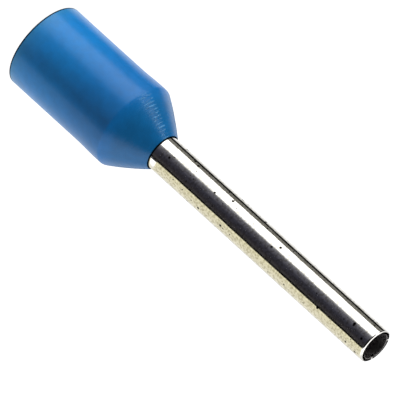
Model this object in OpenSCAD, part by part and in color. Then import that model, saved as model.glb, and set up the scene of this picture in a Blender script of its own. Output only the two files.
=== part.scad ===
// Insulated wire ferrule: a moulded plastic collar gripping a seamless tin-plated copper sleeve.
// It stands on the collar's wide mouth, with the sleeve pointing up along +Z.
// The origin is the centre of the mouth rim, and every length is in millimetres.

/* [Collar outside] */
// Outer diameter of the straight barrel
collar_diameter = 3.2; // [2.8:0.05:4]
// Overall length of the collar, mouth rim to nose
collar_length = 5.85; // [5.3:0.05:7]
// Length of the barrel, mouth rim to shoulder
barrel_length = 4.42; // [3:0.02:4.8]
// Extra radius of the faint swell behind the shoulder
swell_height = 0.03; // [0.01:0.01:0.06]
// Length of the swell, measured back from the shoulder
swell_length = 1; // [0.9:0.05:1.4]
// Length over which the barrel rises into the swell
swell_rise = 0.6; // [0.3:0.05:0.65]
// How far the cone bulges outside a straight line
cone_crown = 0.035; // [0.01:0.005:0.08]

/* [Collar walls] */
// Wall thickness of the barrel and of the cone
collar_wall = 0.3; // [0.2:0.02:0.4]
// Width of the rim left at the nose, outside the relief
nose_wall = 0.02; // [0.02:0.01:0.08]
// Width of the relief that keeps the nose clear of the sleeve
relief_width = 0.02; // [0.01:0.01:0.05]
// Depth of that relief
relief_depth = 0.1; // [0.04:0.02:0.12]

/* [Collar edges] */
// Rounding of the outer edge of the mouth rim
rim_edge = 0.03; // [0.02:0.01:0.14]
// Rounding of the inner edge of the mouth rim
mouth_edge = 0.1; // [0.02:0.01:0.14]
// Rounding of the shoulder between barrel and cone
shoulder_edge = 0.15; // [0.05:0.05:0.4]
// Rounding of the nose where the cone ends
nose_edge = 0.01; // [0.005:0.005:0.02]

/* [Sleeve] */
// Outer diameter of the straight sleeve
sleeve_diameter = 1.3; // [1:0.05:1.6]
// Wall thickness of the sleeve
sleeve_wall = 0.15; // [0.1:0.01:0.2]
// Height of the sleeve's tip above the mouth rim
overall_length = 16.3; // [12:0.1:20]
// Share of the wall that each end's rounding takes
lip_share = 0.49; // [0.2:0.01:0.49]
// How far the flared end stays short of the barrel's bore
flare_step = 0.1; // [0.04:0.02:0.3]
// Share of the collar's neck that the bend into the flare takes
bend_share = 0.72; // [0.4:0.02:0.8]

/* [Fit] */
// Radial clearance between the sleeve and the collar that is pressed over it
seat_clearance = 0; // [0:0.005:0.02]
// Mould draft of the neck's bore: extra radius where it opens into the funnel
neck_draft = 0.01; // [0.005:0.005:0.03]

/* [Hidden] */

// Facets of one full turn, and of one rounded corner in an outline
turn_facets = 96;
corner_facets = 8;

// Share of a gentle slope's length that the rounding at each of its ends takes
slope_share = 0.4;
// Share of the cone's length that the arc of its crown covers
crown_share = 0.85;

collar_radius = collar_diameter / 2;
shoulder_radius = collar_radius + swell_height;
mouth_radius = collar_radius - collar_wall;
sleeve_radius = sleeve_diameter / 2;
neck_radius = sleeve_radius + seat_clearance;
relief_radius = neck_radius + relief_width;
nose_radius = relief_radius + nose_wall;

// Swell: where it starts and ends on the barrel, and the rounding that blends both
swell_start = barrel_length - swell_length;
swell_end = swell_start + swell_rise;
swell_blend = 2 * slope_share * pow(swell_rise, 2) / swell_height;

// Cone: its slope from the axis, the direction square to it, and the corner under its crown
cone_start = [shoulder_radius, barrel_length];
cone_end = [nose_radius, collar_length];
cone_angle = atan((cone_start.x - cone_end.x) / (cone_end.y - cone_start.y));
cone_out = [cos(cone_angle), sin(cone_angle)];
crown_rise = cone_crown / (1 - crown_share / 2);
crown = (cone_start + cone_end) / 2 + crown_rise * cone_out;
crown_rounding = crown_share * pow(norm(cone_end - cone_start) / 2, 2) / crown_rise;

// Height at which the sleeve's outside turns into the flare, one wall inside the cone
flare_height = collar_length - collar_wall / sin(cone_angle)
    + (nose_radius - sleeve_radius) / tan(cone_angle);
flare_radius = mouth_radius - flare_step;
flare_bend = bend_share * (collar_length - flare_height) / tan(cone_angle / 2);

// Corner of the bend on the surface that lies the given distance outside the sleeve
function bend_corner(out) =
    [sleeve_radius + out, flare_height + out * tan(cone_angle / 2), flare_bend - out];

// Point of that same surface on the flare, at the given radius
function flare_corner(out, radius, rounding) =
    let (bend = bend_corner(out))
    [radius, bend.y - (radius - bend.x) / tan(cone_angle), rounding];

function unit(v) = v / norm(v);

// Arc that rounds corner b between its neighbours a and c, each [radius, height, rounding]
function corner_arc(a, b, c) =
    let (
        corner = [b.x, b.y],
        to_a = unit([a.x, a.y] - corner),
        to_c = unit([c.x, c.y] - corner),
        half = acos(to_a * to_c) / 2,
        centre = corner + unit(to_a + to_c) * b.z / sin(half),
        first = corner + to_a * b.z / tan(half) - centre,
        last = corner + to_c * b.z / tan(half) - centre,
        sweep = 180 - 2 * half
    )
    [for (i = [0 : corner_facets])
        let (t = i / corner_facets)
        centre + (first * sin((1 - t) * sweep) + last * sin(t * sweep)) / sin(sweep)];

// Closed outline through a list of corners. A corner with no rounding stays sharp
function rounded_outline(corners) =
    let (count = len(corners))
    [for (i = [0 : count - 1])
        let (b = corners[i])
        each b.z > 0
            ? corner_arc(corners[(i + count - 1) % count], b, corners[(i + 1) % count])
            : [[b.x, b.y]]];

module turned(corners) {
    rotate_extrude($fn = turn_facets)
        polygon(rounded_outline(corners));
}

// Barrel, swell and crowned cone outside; wide bore, funnel and neck inside
module insulating_collar() {
    color("#1f67ad")
        turned([
            [mouth_radius, 0, mouth_edge],
            [collar_radius, 0, rim_edge],
            [collar_radius, swell_start, swell_blend],
            [shoulder_radius, swell_end, swell_blend],
            [cone_start.x, cone_start.y, shoulder_edge],
            [crown.x, crown.y, crown_rounding],
            [cone_end.x, cone_end.y, nose_edge],
            [relief_radius, collar_length, 0],
            [neck_radius, collar_length - relief_depth, 0],
            flare_corner(seat_clearance, neck_radius + neck_draft, flare_bend),
            flare_corner(seat_clearance, mouth_radius, 0)
        ]);
}

// Straight tube with a rounded lip at its tip, belled out at the end inside the collar
module tinned_sleeve() {
    lip = lip_share * sleeve_wall;
    flare_out = flare_corner(0, flare_radius, lip);
    flare_in = [flare_out.x, flare_out.y] - sleeve_wall * cone_out;
    color("#d9d8d2")
        turned([
            flare_out,
            bend_corner(0),
            [sleeve_radius, overall_length, lip],
            [sleeve_radius - sleeve_wall, overall_length, lip],
            bend_corner(-sleeve_wall),
            [flare_in.x, flare_in.y, lip]
        ]);
}

insulating_collar();
tinned_sleeve();
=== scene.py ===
import math
import bmesh
import bpy
from mathutils import Matrix, Vector


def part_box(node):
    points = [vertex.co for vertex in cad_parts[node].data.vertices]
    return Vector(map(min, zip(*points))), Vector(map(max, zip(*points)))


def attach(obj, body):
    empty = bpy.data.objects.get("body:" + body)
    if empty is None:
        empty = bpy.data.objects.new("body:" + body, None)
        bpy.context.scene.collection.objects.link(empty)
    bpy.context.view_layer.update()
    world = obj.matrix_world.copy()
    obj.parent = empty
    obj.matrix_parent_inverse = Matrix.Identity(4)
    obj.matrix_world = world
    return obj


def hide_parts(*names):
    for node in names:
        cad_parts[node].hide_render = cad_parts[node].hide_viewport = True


# insulated wire ferrule: a moulded blue collar pressed over a bright tin-plated sleeve
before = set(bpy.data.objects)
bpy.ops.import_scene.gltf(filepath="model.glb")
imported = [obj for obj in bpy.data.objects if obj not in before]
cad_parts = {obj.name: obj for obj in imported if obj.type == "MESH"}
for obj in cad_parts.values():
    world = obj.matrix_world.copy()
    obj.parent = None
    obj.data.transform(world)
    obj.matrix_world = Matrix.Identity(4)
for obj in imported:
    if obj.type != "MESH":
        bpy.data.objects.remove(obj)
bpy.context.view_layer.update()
millimetre = 0.001
smoothBelow = 28       # degrees; sharper edges stay sharp
ringSlack = 1e-4       # mm, how near a vertex lies to a ring that it belongs to
lineCore = 0.6         # share of a thin dark line that is fully dark
print("frame loaded with", len(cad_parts), "nodes")


def srgb(hexColour):
    # one sRGB hex colour as linear values
    channels = [int(hexColour[i:i + 2], 16) / 255 for i in (1, 3, 5)]
    linear = [c / 12.92 if c <= 0.04045 else ((c + 0.055) / 1.055) ** 2.4 for c in channels]
    return (*linear, 1)


def deselectAll():
    if bpy.context.object and bpy.context.object.mode != "OBJECT":
        bpy.ops.object.mode_set(mode="OBJECT")
    bpy.ops.object.select_all(action="DESELECT")


def turnAngle(before, corner, after):
    # how far the outline turns at a corner, in radians
    first = Vector((corner[0] - before[0], corner[1] - before[1]))
    second = Vector((after[0] - corner[0], after[1] - corner[1]))
    return first.angle(second)


def selectRings(piece, *rings):
    # selects the edges that lie on the given rings, each (radius, height)
    mesh = bmesh.from_edit_mesh(piece.data)
    for part in (*mesh.faces, *mesh.edges, *mesh.verts):
        part.select = False
    for edge in mesh.edges:
        for ring in rings:
            if all(abs(math.hypot(v.co.x, v.co.y) - ring[0]) < ringSlack
                   and abs(v.co.z - ring[1]) < ringSlack for v in edge.verts):
                edge.select_set(True)
    bmesh.update_edit_mesh(piece.data)


def turnPiece(name, corners, segments, steps):
    # turns a closed ring wall from its corners, each (radius, height, rounding) in millimetres
    deselectAll()
    start = corners[0]
    bpy.ops.mesh.primitive_circle_add(vertices=segments, radius=start[0], location=(0, 0, start[1]))
    piece = bpy.context.object
    piece.name = name
    bpy.ops.object.transform_apply(location=True, rotation=False, scale=False)
    bpy.ops.object.mode_set(mode="EDIT")
    bpy.ops.mesh.select_mode(type="EDGE")
    bpy.ops.mesh.select_all(action="SELECT")
    for last, corner in zip(corners, corners[1:]):
        growth = corner[0] / last[0]
        bpy.ops.mesh.extrude_region_move(TRANSFORM_OT_translate={"value": (0, 0, corner[1] - last[1])})
        bpy.ops.transform.resize(value=(growth, growth, 1), center_override=(0, 0, 0))
    selectRings(piece, corners[-1], start)
    bpy.ops.mesh.bridge_edge_loops()
    for i, corner in enumerate(corners):
        if corner[2] > 0:
            turn = turnAngle(corners[i - 1], corner, corners[(i + 1) % len(corners)])
            selectRings(piece, corner)
            bpy.ops.mesh.bevel(offset=corner[2] * math.tan(turn / 2), offset_type="OFFSET",
                               segments=steps, affect="EDGES", clamp_overlap=False)
    bpy.ops.mesh.select_all(action="SELECT")
    bpy.ops.mesh.normals_make_consistent(inside=False)
    bpy.ops.object.mode_set(mode="OBJECT")
    piece.scale = (millimetre, millimetre, millimetre)
    bpy.ops.object.transform_apply(location=False, rotation=False, scale=True)
    bpy.ops.object.shade_smooth_by_angle(angle=math.radians(smoothBelow))
    return piece


def evenFlats(piece):
    # keeps wide faces flat up to their rounded edges
    even = piece.modifiers.new("evenFlats", "WEIGHTED_NORMAL")
    even.keep_sharp = True
    bpy.ops.object.modifier_apply(modifier=even.name)


# sizes in millimetres; what the frame already says is read from it below
collar = {
    "wall": 0.3,           # barrel and cone
    "barrel": 4.42,        # mouth rim to shoulder
    "swell": 0.03,         # extra radius behind the shoulder
    "swellLength": 1.0,
    "swellRise": 0.6,
    "swellEase": 0.8,      # share of the rise that each of its two bends takes
    "crown": 0.035,        # bulge of the cone
    "crownShare": 0.85,    # of the cone's length that the bulge covers
    "rimEdge": 0.03,
    "mouthEdge": 0.1,
    "shoulderEdge": 0.15,
    "noseWall": 0.02,
    "noseEdge": 0.01,
    "relief": 0.02,        # gap round the sleeve at the nose
    "reliefDepth": 0.1,
    "neckDraft": 0.01,
    "segments": 256,
    "steps": 10,           # facets in each rounded edge
}

sleeve = {
    "diameter": 1.3,
    "wall": 0.15,
    "lip": 0.49,           # share of the wall that an outer edge's rounding takes
    "innerLip": 0.12,      # and an inner edge's
    "flareStep": 0.1,      # how far the flared end stays short of the barrel's bore
    "bendShare": 0.72,     # share of the neck that the bend into the flare takes
    "segments": 256,
    "steps": 12,
}

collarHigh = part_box("insulating_collar")[1]
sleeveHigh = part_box("tinned_sleeve")[1]
shoulderRadius = collarHigh.x / millimetre
noseHeight = collarHigh.z / millimetre
tipHeight = sleeveHigh.z / millimetre
barrelRadius = shoulderRadius - collar["swell"]
boreRadius = barrelRadius - collar["wall"]
sleeveRadius = sleeve["diameter"] / 2
reliefRadius = sleeveRadius + collar["relief"]
noseRadius = reliefRadius + collar["noseWall"]

coneRise = noseHeight - collar["barrel"]
coneAngle = math.atan((shoulderRadius - noseRadius) / coneRise)
flareHeight = (noseHeight - collar["wall"] / math.sin(coneAngle)
               + (noseRadius - sleeveRadius) / math.tan(coneAngle))
bend = sleeve["bendShare"] * (noseHeight - flareHeight) / math.tan(coneAngle / 2)


def onFlare(out, radius):
    # height of the flare's surface at a radius, the given distance outside the sleeve
    corner = flareHeight + out * math.tan(coneAngle / 2)
    return corner - (radius - sleeveRadius - out) / math.tan(coneAngle)


def buildCollar():
    swellStart = collar["barrel"] - collar["swellLength"]
    swellEnd = swellStart + collar["swellRise"]
    swellBlend = collar["swellEase"] * collar["swellRise"] ** 2 / collar["swell"]
    coneLength = coneRise / math.cos(coneAngle)
    crownRise = collar["crown"] / (1 - collar["crownShare"] / 2)
    crownRadius = (shoulderRadius + noseRadius) / 2 + crownRise * math.cos(coneAngle)
    crownHeight = (collar["barrel"] + noseHeight) / 2 + crownRise * math.sin(coneAngle)
    crownBlend = collar["crownShare"] * (coneLength / 2) ** 2 / crownRise
    neckRadius = sleeveRadius + collar["neckDraft"]
    corners = [
        (boreRadius, 0, collar["mouthEdge"]),
        (barrelRadius, 0, collar["rimEdge"]),
        (barrelRadius, swellStart, swellBlend),
        (shoulderRadius, swellEnd, swellBlend),
        (shoulderRadius, collar["barrel"], collar["shoulderEdge"]),
        (crownRadius, crownHeight, crownBlend),
        (noseRadius, noseHeight, collar["noseEdge"]),
        (reliefRadius, noseHeight, 0),
        (sleeveRadius, noseHeight - collar["reliefDepth"], 0),
        (neckRadius, onFlare(0, neckRadius), bend),
        (boreRadius, onFlare(0, boreRadius), 0),
    ]
    piece = turnPiece("mouldedCollar", corners, collar["segments"], collar["steps"])
    evenFlats(piece)
    return piece


def buildSleeve():
    lip = sleeve["lip"] * sleeve["wall"]
    innerLip = sleeve["innerLip"] * sleeve["wall"]
    flareRadius = boreRadius - sleeve["flareStep"]
    insideRadius = sleeveRadius - sleeve["wall"]
    flareInside = flareRadius - sleeve["wall"] * math.cos(coneAngle)
    corners = [
        (flareRadius, onFlare(0, flareRadius), lip),
        (sleeveRadius, flareHeight, bend),
        (sleeveRadius, tipHeight, lip),
        (insideRadius, tipHeight, innerLip),
        (insideRadius, flareHeight - sleeve["wall"] * math.tan(coneAngle / 2), bend + sleeve["wall"]),
        (flareInside, onFlare(-sleeve["wall"], flareInside), innerLip),
    ]
    piece = turnPiece("drawnSleeve", corners, sleeve["segments"], sleeve["steps"])
    evenFlats(piece)
    return piece


def addNode(tree, kind, settings=None, inputs=None):
    # adds a node with its settings, and fills its inputs with values or links
    node = tree.nodes.new(kind)
    for name, value in (settings or {}).items():
        setattr(node, name, value)
    for name, value in (inputs or {}).items():
        if isinstance(value, bpy.types.NodeSocket):
            tree.links.new(value, node.inputs[name])
        else:
            node.inputs[name].default_value = value
    return node


def setStops(ramp, stops):
    # gives a colour ramp its stops, each (position, colour), in rising order
    elements = ramp.color_ramp.elements
    while len(elements) > 1:
        elements.remove(elements[-1])
    elements[0].position, elements[0].color = stops[0]
    for position, colour in stops[1:]:
        elements.new(position).color = colour


def newMaterial(name):
    material = bpy.data.materials.new(name)
    material.use_nodes = True
    material.node_tree.nodes.clear()
    return material, material.node_tree


def objectMillimetres(tree):
    # the object's own coordinates in millimetres, and their separate axes
    place = addNode(tree, "ShaderNodeTexCoord")
    scaled = addNode(tree, "ShaderNodeVectorMath", {"operation": "SCALE"},
                     {0: place.outputs["Object"], "Scale": 1 / millimetre})
    axes = addNode(tree, "ShaderNodeSeparateXYZ", inputs={0: scaled.outputs[0]})
    flat = addNode(tree, "ShaderNodeCombineXYZ", inputs={"X": axes.outputs["X"], "Y": axes.outputs["Y"]})
    return scaled.outputs[0], axes.outputs["Z"], flat.outputs[0]


def grey(level):
    return (level, level, level, 1)


def fadeBetween(tree, value, start, end, startValue=0, endValue=1):
    # a soft change from one value to another between two limits
    fade = addNode(tree, "ShaderNodeMapRange", {"interpolation_type": "SMOOTHSTEP"}, {
        "Value": value, "From Min": start, "From Max": end, "To Min": startValue, "To Max": endValue})
    return fade.outputs[0]


def lineMask(tree, height, start, width):
    # 1 in a thin line that begins at a height, 0 above it
    return fadeBetween(tree, height, start + lineCore * width, start + width, 1, 0)


def sideMask(tree, flat, turn, spread):
    # 1 on the side that faces a direction, 0 further round; degrees from the front towards +X,
    # with the spread giving where it is still 1 and where it is 0
    angle = math.radians(turn)
    full, gone = (math.cos(math.radians(degrees)) for degrees in spread)
    outwards = addNode(tree, "ShaderNodeVectorMath", {"operation": "NORMALIZE"}, {0: flat})
    facing = addNode(tree, "ShaderNodeVectorMath", {"operation": "DOT_PRODUCT"},
                     {0: outwards.outputs[0], 1: (math.sin(angle), -math.cos(angle), 0)})
    return fadeBetween(tree, facing.outputs["Value"], gone, full)


def times(tree, first, second):
    return addNode(tree, "ShaderNodeMath", {"operation": "MULTIPLY"}, {0: first, 1: second}).outputs[0]


def larger(tree, first, second):
    return addNode(tree, "ShaderNodeMath", {"operation": "MAXIMUM"}, {0: first, 1: second}).outputs[0]


def blend(tree, share, first, second):
    mix = addNode(tree, "ShaderNodeMix", {"data_type": "RGBA"}, {0: share, 6: first, 7: second})
    return mix.outputs[2]


def noise(tree, place, size, detail=3, rough=0.6):
    spots = addNode(tree, "ShaderNodeTexNoise", inputs={
        "Vector": place, "Scale": 1 / size, "Detail": detail, "Roughness": rough})
    return spots.outputs[0]


def bump(tree, height, millimetres, under=None):
    inputs = {"Height": height, "Distance": millimetres * millimetre}
    if under:
        inputs["Normal"] = under
    return addNode(tree, "ShaderNodeBump", inputs=inputs).outputs[0]


plastic = {
    # share of the collar's length and the blue there, with painted light and shade: lighter by the
    # open mouth, where light comes through the wall, and darker on the cone, which the sleeve backs
    "bluesWithPaintedShade": [(0.015, "#3391cd"), (0.05, "#238ad1"), (0.14, "#0c85d3"), (0.28, "#0081ce"),
              (0.52, "#0476c1"), (0.76, "#0c72bb"), (0.84, "#0f69a6")],
    "rim": "#082a3e",          # painted shade on the edges where the collar ends
    "rimLine": 0.075,          # mm, painted shade line at the mouth
    "noseShadeLine": 0.02,          # mm, painted shade line at the nose
    "roughness": 0.3,
    "ior": 1.49,
    "gloss": 0.5,              # on the skin; the painted shade lines at the edges have none
    "mottle": 0.28,            # mm, cloudy spots in the pigment
    "mottleDepth": 0.12,       # how much lighter and darker they get in all
    "mottleFade": (0.3, 0.7),  # noise levels between which the spots fade
    "peel": 0.14,              # mm, ripple of the moulded skin
    "peelHeight": 0.0006,      # mm
    "markPitch": 0.05,         # mm, turned marks of the mould round the cone
    "markLength": 0.42,        # mm
    "markHeight": 0.01,        # mm
    "markStart": 0.12,         # mm over which they begin past the shoulder
    "strokeGlint": "#58a3dc",       # painted highlight: short pale glints on the side of the cone where the light falls
    "glintTurn": -40,          # degrees from the front
    "glintSpread": (1, 12),    # degrees to either side
    "strokePitch": 0.105,       # mm
    "strokeWobble": 3,          # how uneven the marks run
    "strokeFade": (0.55, 0.9),  # wave levels between which a stroke fades in
    "scuffBreaks": (0.4, 0.52),  # noise levels between which it breaks off
    "strokeHeight": 0.012,      # mm
}


def mouldedPolypropylene():
    # injection-moulded polypropylene: a satin skin that looks a little deep, with the turned
    # marks of the mould round the cone
    material, tree = newMaterial("mouldedPolypropylene")
    place, height, flat = objectMillimetres(tree)

    # painted light and shade: the blue is lighter towards the open mouth and darker on the cone
    share = addNode(tree, "ShaderNodeMath", {"operation": "DIVIDE"}, {0: height, 1: noseHeight})
    shadedBlue = addNode(tree, "ShaderNodeValToRGB", inputs={"Fac": share.outputs[0]})
    setStops(shadedBlue, [(position, srgb(tone)) for position, tone in plastic["bluesWithPaintedShade"]])
    clouds = noise(tree, place, plastic["mottle"], detail=4)
    cloudy = fadeBetween(tree, clouds, *plastic["mottleFade"],
                         1 - plastic["mottleDepth"] / 2, 1 + plastic["mottleDepth"] / 2)
    shadedPigment = addNode(tree, "ShaderNodeVectorMath", {"operation": "SCALE"},
                      {0: shadedBlue.outputs[0], "Scale": cloudy})

    # fine broken marks round the cone
    around, along = 1 / plastic["markLength"], 1 / plastic["markPitch"]
    stretched = addNode(tree, "ShaderNodeMapping", inputs={"Vector": place, "Scale": (around, around, along)})
    marks = noise(tree, stretched.outputs[0], 1, detail=2)
    onCone = fadeBetween(tree, height, collar["barrel"], collar["barrel"] + plastic["markStart"])
    cuts = times(tree, marks, onCone)

    # a ladder of strokes, painted pale as glints where the highlight falls; at scale 1 a wave's bands repeat
    # every tenth of pi
    rings = addNode(tree, "ShaderNodeTexWave", {"bands_direction": "Z"}, {
        "Vector": place, "Scale": 0.1 * math.pi / plastic["strokePitch"], "Distortion": plastic["strokeWobble"],
        "Detail": 1, "Detail Scale": 1 / plastic["strokePitch"]})
    glintSide = sideMask(tree, flat, plastic["glintTurn"], plastic["glintSpread"])
    broken = fadeBetween(tree, marks, *plastic["scuffBreaks"])
    strokes = times(tree, times(tree, fadeBetween(tree, rings.outputs["Fac"], *plastic["strokeFade"]), broken),
                    times(tree, onCone, glintSide))
    # painted highlight: pale glints on the strokes
    glinted = blend(tree, strokes, shadedPigment.outputs[0], srgb(plastic["strokeGlint"]))

    # painted shade: dark lines without gloss at the mouth's rim and at the nose
    noseShadeLine = fadeBetween(tree, height, noseHeight - plastic["noseShadeLine"], noseHeight)
    edges = larger(tree, lineMask(tree, height, 0, plastic["rimLine"]), noseShadeLine)
    colour = blend(tree, edges, glinted, srgb(plastic["rim"]))
    gloss = fadeBetween(tree, edges, 0, 1, plastic["gloss"], 0)

    skin = bump(tree, noise(tree, place, plastic["peel"], detail=2), plastic["peelHeight"])
    turned = bump(tree, cuts, plastic["markHeight"], skin)
    stroked = bump(tree, strokes, plastic["strokeHeight"], turned)

    shader = addNode(tree, "ShaderNodeBsdfPrincipled", inputs={
        "Base Color": colour,
        "Roughness": plastic["roughness"],
        "IOR": plastic["ior"],
        "Specular IOR Level": gloss,
        "Normal": stroked,
    })
    addNode(tree, "ShaderNodeOutputMaterial", inputs={"Surface": shader.outputs[0]})
    return material


tin = {
    "plate": "#efede8",
    "stain": "#c4c0b4",        # thin film where flux dried
    "stainSize": 0.09,         # mm, patches of the film
    "stainFade": (0.4, 0.66),  # noise levels between which it fades in
    "cleanNose": (0.105, 0.35),  # mm beyond the collar, between which the film begins
    "cleanTip": (0.16, 0.08),  # mm before the tip, between which it ends
    # the dark of the pits and of the painted shade line where the collar ends
    "pitAndShade": "#14120f",
    "pits": [(0.43, 0.06), (0.27, 0.03)],  # spacing and radius in mm, large and small
    "pitRagged": 0.12,         # how uneven their outline is
    "pitBlur": 0.2,            # share of the radius that is soft
    "roughness": 0.08,
    "dullRoughness": 0.12,     # under the film
    "dullFade": (0.3, 0.7),    # noise levels between which it gets duller
    "bore": "#8e8b8b",         # the drawn bore is dull
    "boreRoughness": 0.47,
    "ripple": 0.16,            # mm, unevenness of the plating
    "rippleHeight": 0.0006,    # mm
    "drawn": 0.05,             # mm between the lines left by drawing
    "drawnLength": 0.9,        # mm
    "drawnHeight": 0.0012,     # mm
    "contactShade": 0.045,          # mm, painted shade: a dark line where the collar ends
    "fillet": 0.36,            # mm of plating drawn up against the collar on one side
    "filletHeight": 0.045,     # mm
    "filletTurn": 72,          # degrees from the front
    "filletSpread": (36, 42),  # degrees to either side
    "burr": 0.09,              # mm, lumps of the sheared end
    "burrHeight": 0.004,       # mm
    "burrBand": (0.135, 0.045),  # mm before the tip, between which they rise
    "burrTurn": 180,           # degrees from the front, the side with most of it
    "burrSpread": (60, 110),
    "nicks": [142, -134],      # degrees from the front, dents in the sheared edge
    "nickSpread": (1, 7),
    "nickHeight": 0.025,       # mm
}


def brightTinPlate():
    # bright tin plate on drawn copper: mirror-like bands with pits, a thin film, a dull bore and a painted
    # dark line of shade where the collar ends
    material, tree = newMaterial("brightTinPlate")
    place, height, flat = objectMillimetres(tree)
    radius = addNode(tree, "ShaderNodeVectorMath", {"operation": "LENGTH"}, {0: flat})

    film = noise(tree, place, tin["stainSize"])
    beyond = fadeBetween(tree, height, *(noseHeight + gap for gap in tin["cleanNose"]))
    before = fadeBetween(tree, height, *(tipHeight - gap for gap in tin["cleanTip"]), 1, 0)
    stained = times(tree, fadeBetween(tree, film, *tin["stainFade"]), times(tree, beyond, before))
    plate = blend(tree, stained, srgb(tin["plate"]), srgb(tin["stain"]))

    # painted shade: a dark line on the sleeve where the collar ends, to which the pits are added
    shadeAndPits = lineMask(tree, height, noseHeight, tin["contactShade"])
    for spacing, size in tin["pits"]:
        cells = addNode(tree, "ShaderNodeTexVoronoi", inputs={"Vector": place, "Scale": 1 / spacing})
        ragged = addNode(tree, "ShaderNodeMath", {"operation": "MULTIPLY_ADD"},
                         {0: film, 1: tin["pitRagged"], 2: cells.outputs["Distance"]})
        edge = size / spacing + tin["pitRagged"] / 2
        pits = fadeBetween(tree, ragged.outputs[0], (1 - tin["pitBlur"]) * edge, edge, 1, 0)
        shadeAndPits = larger(tree, shadeAndPits, times(tree, pits, before))
    outside = blend(tree, shadeAndPits, plate, srgb(tin["pitAndShade"]))

    dull = fadeBetween(tree, film, *tin["dullFade"], tin["roughness"], tin["dullRoughness"])
    insideWall = sleeveRadius - (1 - sleeve["innerLip"]) * sleeve["wall"]
    inBore = addNode(tree, "ShaderNodeMath", {"operation": "LESS_THAN"},
                     {0: radius.outputs["Value"], 1: insideWall})
    colour = blend(tree, inBore.outputs[0], outside, srgb(tin["bore"]))
    roughness = addNode(tree, "ShaderNodeMix", {"data_type": "FLOAT"},
                        {0: inBore.outputs[0], 2: dull, 3: tin["boreRoughness"]})

    around, along = 1 / tin["drawn"], 1 / tin["drawnLength"]
    stretched = addNode(tree, "ShaderNodeMapping", inputs={"Vector": place, "Scale": (around, around, along)})
    drawn = bump(tree, noise(tree, stretched.outputs[0], 1, detail=2), tin["drawnHeight"])
    rippled = bump(tree, noise(tree, place, tin["ripple"], rough=0.55), tin["rippleHeight"], drawn)
    rise = times(tree, fadeBetween(tree, height, noseHeight, noseHeight + tin["fillet"], 1, 0),
                 sideMask(tree, flat, tin["filletTurn"], tin["filletSpread"]))
    filled = bump(tree, rise, tin["filletHeight"], rippled)
    atEnd = fadeBetween(tree, height, *(tipHeight - gap for gap in tin["burrBand"]))
    torn = times(tree, atEnd, sideMask(tree, flat, tin["burrTurn"], tin["burrSpread"]))
    lumps = times(tree, noise(tree, place, tin["burr"], detail=1), torn)
    sheared = bump(tree, lumps, tin["burrHeight"], filled)
    for turn in tin["nicks"]:
        nick = times(tree, atEnd, sideMask(tree, flat, turn, tin["nickSpread"]))
        sheared = bump(tree, nick, tin["nickHeight"], sheared)

    shader = addNode(tree, "ShaderNodeBsdfPrincipled", inputs={
        "Base Color": colour,
        "Metallic": 1,
        "Roughness": roughness.outputs[0],
        "Normal": sheared,
    })
    addNode(tree, "ShaderNodeOutputMaterial", inputs={"Surface": shader.outputs[0]})
    return material


mouldedCollar = buildCollar()
mouldedCollar.data.materials.append(mouldedPolypropylene())
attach(mouldedCollar, "root")
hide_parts("insulating_collar")
print("collar turned,", len(mouldedCollar.data.polygons), "faces")

drawnSleeve = buildSleeve()
drawnSleeve.data.materials.append(brightTinPlate())
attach(drawnSleeve, "root")
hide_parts("tinned_sleeve")
print("sleeve turned,", len(drawnSleeve.data.polygons), "faces")


table = {
    "size": 2.0,           # m
    "paper": 0.8,          # how much light the white table gives back
    "seenPaper": 0.35,     # the same where it is looked at, which carries the shadow
    "glow": 0.95,          # what it adds there, just short of white
}


def plainlySeen(tree):
    # 1 where the camera, a mirror or clear plastic looks at it, 0 where it only gives light
    ray = addNode(tree, "ShaderNodeLightPath")
    mirrored = larger(tree, ray.outputs["Is Glossy Ray"], ray.outputs["Is Transmission Ray"])
    return larger(tree, ray.outputs["Is Camera Ray"], mirrored)


def buildTable():
    # a white table that stays white to the eye and keeps a light shadow
    deselectAll()
    bpy.ops.mesh.primitive_plane_add(size=table["size"], location=(0, 0, 0))
    floor = bpy.context.object
    floor.name = "table"
    material, tree = newMaterial("whitePaper")
    paper = addNode(tree, "ShaderNodeBsdfDiffuse", inputs={"Color": grey(table["paper"])})
    faint = addNode(tree, "ShaderNodeBsdfDiffuse", inputs={"Color": grey(table["seenPaper"])})
    glow = addNode(tree, "ShaderNodeEmission", inputs={"Strength": table["glow"]})
    shown = addNode(tree, "ShaderNodeAddShader", inputs={0: faint.outputs[0], 1: glow.outputs[0]})
    both = addNode(tree, "ShaderNodeMixShader",
                   inputs={0: plainlySeen(tree), 1: paper.outputs[0], 2: shown.outputs[0]})
    addNode(tree, "ShaderNodeOutputMaterial", inputs={"Surface": both.outputs[0]})
    floor.data.materials.append(material)
    floor.visible_glossy = False  # the sleeve mirrors the cards beyond the table, not the table


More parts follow.
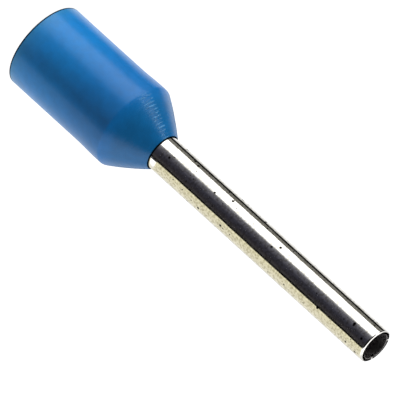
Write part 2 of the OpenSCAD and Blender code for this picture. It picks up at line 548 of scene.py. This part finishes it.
cards = {
    "radius": 0.2,         # m from the ferrule
    "facets": 96,
    "low": -0.6,           # m, foot of the cards, below the table's top
    "split": -0.045,       # m, where the lower row meets the upper one
    "softboxTop": 0.065,   # m, the same on the softbox's side
    "splitTurns": (-28.65, 0),  # degrees between which it drops
    "high": 1.0,           # m
    "peak": 2.4,           # brightest card
    # (degrees from the camera towards +X, brightness, tint)
    "lowerRow": [
        (-180, 0.5, "#ffffff"), (-158, 1.15, "#ffffff"), (-140, 1.05, "#ffffff"), (-128, 0.65, "#ffffff"),
        (-126, 0, "#ffffff"), (-109, 0, "#ffffff"), (-107, 0.24, "#fffdf4"), (-84, 0.19, "#fffdf4"),
        (-82, 2.4, "#ffffff"), (-60, 2.4, "#ffffff"), (-33, 1.6, "#ffffff"), (-27, 0.34, "#f4f6ff"),
        (-18, 0.16, "#ececff"), (0, 0.085, "#e2e2ff"), (6, 0.055, "#dcdcff"), (16, 0.047, "#dcdcff"),
        (33, 0.038, "#e4dcf4"), (46, 0.055, "#f0e8f0"), (51, 0.046, "#f0e8f0"), (54, 0, "#ffffff"),
        (63, 0, "#ffffff"), (65, 1.05, "#fffad8"), (70, 1.0, "#fffad8"), (76, 0.85, "#fffad8"),
        (100, 0.88, "#fffade"), (140, 0.95, "#fffcea"), (158, 0.9, "#ffffff"), (180, 0.4, "#ffffff"),
    ],
    "upperRow": [
        (-180, 0.8, "#ffffff"), (-120, 0.8, "#ffffff"), (-112, 0.02, "#ffffff"), (-84, 0.02, "#ffffff"),
        (-80, 2.0, "#ffffff"), (-68, 2.0, "#ffffff"), (-64, 0.02, "#ffffff"), (53, 0.01, "#ffffff"),
        (64, 1.2, "#ffffff"), (70, 1.5, "#ffffff"), (95, 1.5, "#ffffff"), (120, 0.85, "#ffffff"),
        (180, 0.8, "#ffffff"),
    ],
}

flag = {
    "cloth": "#050505",
    "width": 0.12,         # m
    "low": -0.055,
    "high": 0.16,
    "back": 0.19,          # m behind the ferrule
}

roof = {
    "width": 0.28,         # m
    "front": -0.02,        # m, its edge towards the camera
    "back": 0.12,
    "height": 0.15,
    "glow": 1.6,
}


def showToShinyOnly(piece):
    piece.visible_camera = False
    piece.visible_diffuse = False
    piece.visible_transmission = False
    piece.visible_shadow = False


def addCard(name, width, length, place, turn=(0, 0, 0)):
    # a flat card of a width and length
    deselectAll()
    bpy.ops.mesh.primitive_plane_add(size=1, location=place, rotation=turn)
    card = bpy.context.object
    card.name = name
    card.scale = (width, length, 1)
    bpy.ops.object.transform_apply(location=True, rotation=True, scale=True)
    return card


def cardRow(tree, turn, stops):
    # one row of cards as a ramp round the ferrule
    row = addNode(tree, "ShaderNodeValToRGB", inputs={"Fac": turn})
    setStops(row, [((degrees + 180) / 360, [channel * level / cards["peak"] for channel in srgb(tint)])
                   for degrees, level, tint in stops])
    return row


def buildCards():
    # white, grey and black cards round the ferrule that only shiny surfaces see
    deselectAll()
    height = cards["high"] - cards["low"]
    bpy.ops.mesh.primitive_cylinder_add(vertices=cards["facets"], radius=cards["radius"], depth=height,
                                        end_fill_type="NOTHING", location=(0, 0, cards["low"] + height / 2))
    ring = bpy.context.object
    ring.name = "cards"
    bpy.ops.object.transform_apply(location=True, rotation=False, scale=False)
    material, tree = newMaterial("litCards")
    place = addNode(tree, "ShaderNodeTexCoord")
    axes = addNode(tree, "ShaderNodeSeparateXYZ", inputs={0: place.outputs["Object"]})
    towards = addNode(tree, "ShaderNodeMath", {"operation": "MULTIPLY"}, {0: axes.outputs["Y"], 1: -1})
    angle = addNode(tree, "ShaderNodeMath", {"operation": "ARCTAN2"},
                    {0: axes.outputs["X"], 1: towards.outputs[0]})
    turn = addNode(tree, "ShaderNodeMapRange",
                   inputs={"Value": angle.outputs[0], "From Min": -math.pi, "From Max": math.pi})
    lower = cardRow(tree, turn.outputs[0], cards["lowerRow"])
    upper = cardRow(tree, turn.outputs[0], cards["upperRow"])
    dropStart, dropEnd = (math.radians(degrees) for degrees in cards["splitTurns"])
    split = addNode(tree, "ShaderNodeMapRange", inputs={
        "Value": angle.outputs[0], "From Min": dropStart, "From Max": dropEnd,
        "To Min": cards["softboxTop"], "To Max": cards["split"]})
    above = addNode(tree, "ShaderNodeMath", {"operation": "GREATER_THAN"},
                    {0: axes.outputs["Z"], 1: split.outputs[0]})
    face = addNode(tree, "ShaderNodeMix", {"data_type": "RGBA"},
                   {0: above.outputs[0], 6: lower.outputs[0], 7: upper.outputs[0]})
    lit = addNode(tree, "ShaderNodeEmission", inputs={"Color": face.outputs[2], "Strength": cards["peak"]})
    addNode(tree, "ShaderNodeOutputMaterial", inputs={"Surface": lit.outputs[0]})
    material.cycles.emission_sampling = "NONE"
    ring.data.materials.append(material)
    showToShinyOnly(ring)


def buildFlag():
    # black cloth behind the ferrule, which keeps the flat and far edge of the sleeve's end dark
    height = flag["high"] - flag["low"]
    cloth = addCard("flag", flag["width"], height, (0, flag["back"], flag["low"] + height / 2),
                    turn=(math.pi / 2, 0, 0))
    material, tree = newMaterial("blackCloth")
    weave = addNode(tree, "ShaderNodeBsdfDiffuse", inputs={"Color": srgb(flag["cloth"])})
    addNode(tree, "ShaderNodeOutputMaterial", inputs={"Surface": weave.outputs[0]})
    cloth.data.materials.append(material)
    showToShinyOnly(cloth)


def buildRoof():
    # a card overhead, which lights the rounded edge at the sleeve's tip
    length = roof["back"] - roof["front"]
    card = addCard("roof", roof["width"], length, (0, roof["front"] + length / 2, roof["height"]))
    material, tree = newMaterial("litRoof")
    lit = addNode(tree, "ShaderNodeEmission", inputs={"Strength": roof["glow"]})
    addNode(tree, "ShaderNodeOutputMaterial", inputs={"Surface": lit.outputs[0]})
    material.cycles.emission_sampling = "NONE"
    card.data.materials.append(material)
    showToShinyOnly(card)


lamps = {
    "daylight": 0.14,      # even light from all round
    "distance": 0.3,       # m
    "softbox": {"turn": -70, "lift": 12, "size": 0.06, "watts": 0.69},
    "reflector": {"turn": 108, "lift": 30, "size": 0.06, "watts": 0.56},
}


def buildWorld():
    # white wherever it is looked at, and even daylight otherwise
    world = bpy.data.worlds.new("studio")
    bpy.context.scene.world = world
    world.use_nodes = True
    tree = world.node_tree
    tree.nodes.clear()
    light = addNode(tree, "ShaderNodeBackground", inputs={"Color": grey(1), "Strength": lamps["daylight"]})
    white = addNode(tree, "ShaderNodeBackground", inputs={"Color": grey(1), "Strength": 1})
    both = addNode(tree, "ShaderNodeMixShader",
                   inputs={0: plainlySeen(tree), 1: light.outputs[0], 2: white.outputs[0]})
    addNode(tree, "ShaderNodeOutputWorld", inputs={"Surface": both.outputs[0]})


def addLamp(name, facts):
    # a square lamp at an angle from the camera, aimed at the ferrule
    turn = math.radians(facts["turn"])
    lift = math.radians(facts["lift"])
    towards = Vector((math.sin(turn) * math.cos(lift), -math.cos(turn) * math.cos(lift), math.sin(lift)))
    middle = Vector((0, 0, tipHeight / 2 * millimetre))
    deselectAll()
    bpy.ops.object.light_add(type="AREA", location=middle + towards * lamps["distance"],
                             rotation=towards.to_track_quat("Z", "Y").to_euler())
    lamp = bpy.context.object
    lamp.name = name
    lamp.data.size = facts["size"]
    lamp.data.energy = facts["watts"]
    lamp.visible_glossy = False  # the cards show where it stands


view = {
    "lookDown": 24.8,      # degrees below level
    "roll": 132.3,         # degrees
    "distance": 0.55,      # m
    "span": 13.529,        # mm across the long side of the frame
    "right": -0.29,        # mm from the ferrule's middle to the frame's
    "up": -0.308,
    "sensor": 36,          # mm
    "near": 0.05,          # m
    "far": 10,
}


def buildCamera():
    # looks down at the ferrule, rolled so that the sleeve lies to the lower right
    turn = (Matrix.Rotation(math.radians(90 - view["lookDown"]), 3, "X")
            @ Matrix.Rotation(math.radians(view["roll"]), 3, "Z"))
    middle = Vector((0, 0, tipHeight / 2)) * millimetre
    aim = middle + (turn.col[0] * view["right"] + turn.col[1] * view["up"]) * millimetre
    deselectAll()
    bpy.ops.object.camera_add(location=aim + turn.col[2] * view["distance"], rotation=turn.to_euler())
    camera = bpy.context.object
    camera.data.sensor_width = view["sensor"]
    camera.data.lens = view["sensor"] * view["distance"] / (view["span"] * millimetre)
    camera.data.clip_start = view["near"]
    camera.data.clip_end = view["far"]
    bpy.context.scene.camera = camera


buildTable()
buildCards()
buildFlag()
buildRoof()
buildWorld()
addLamp("softbox", lamps["softbox"])
addLamp("reflector", lamps["reflector"])
buildCamera()
bpy.context.scene.view_settings.view_transform = "Standard"
print("studio set")
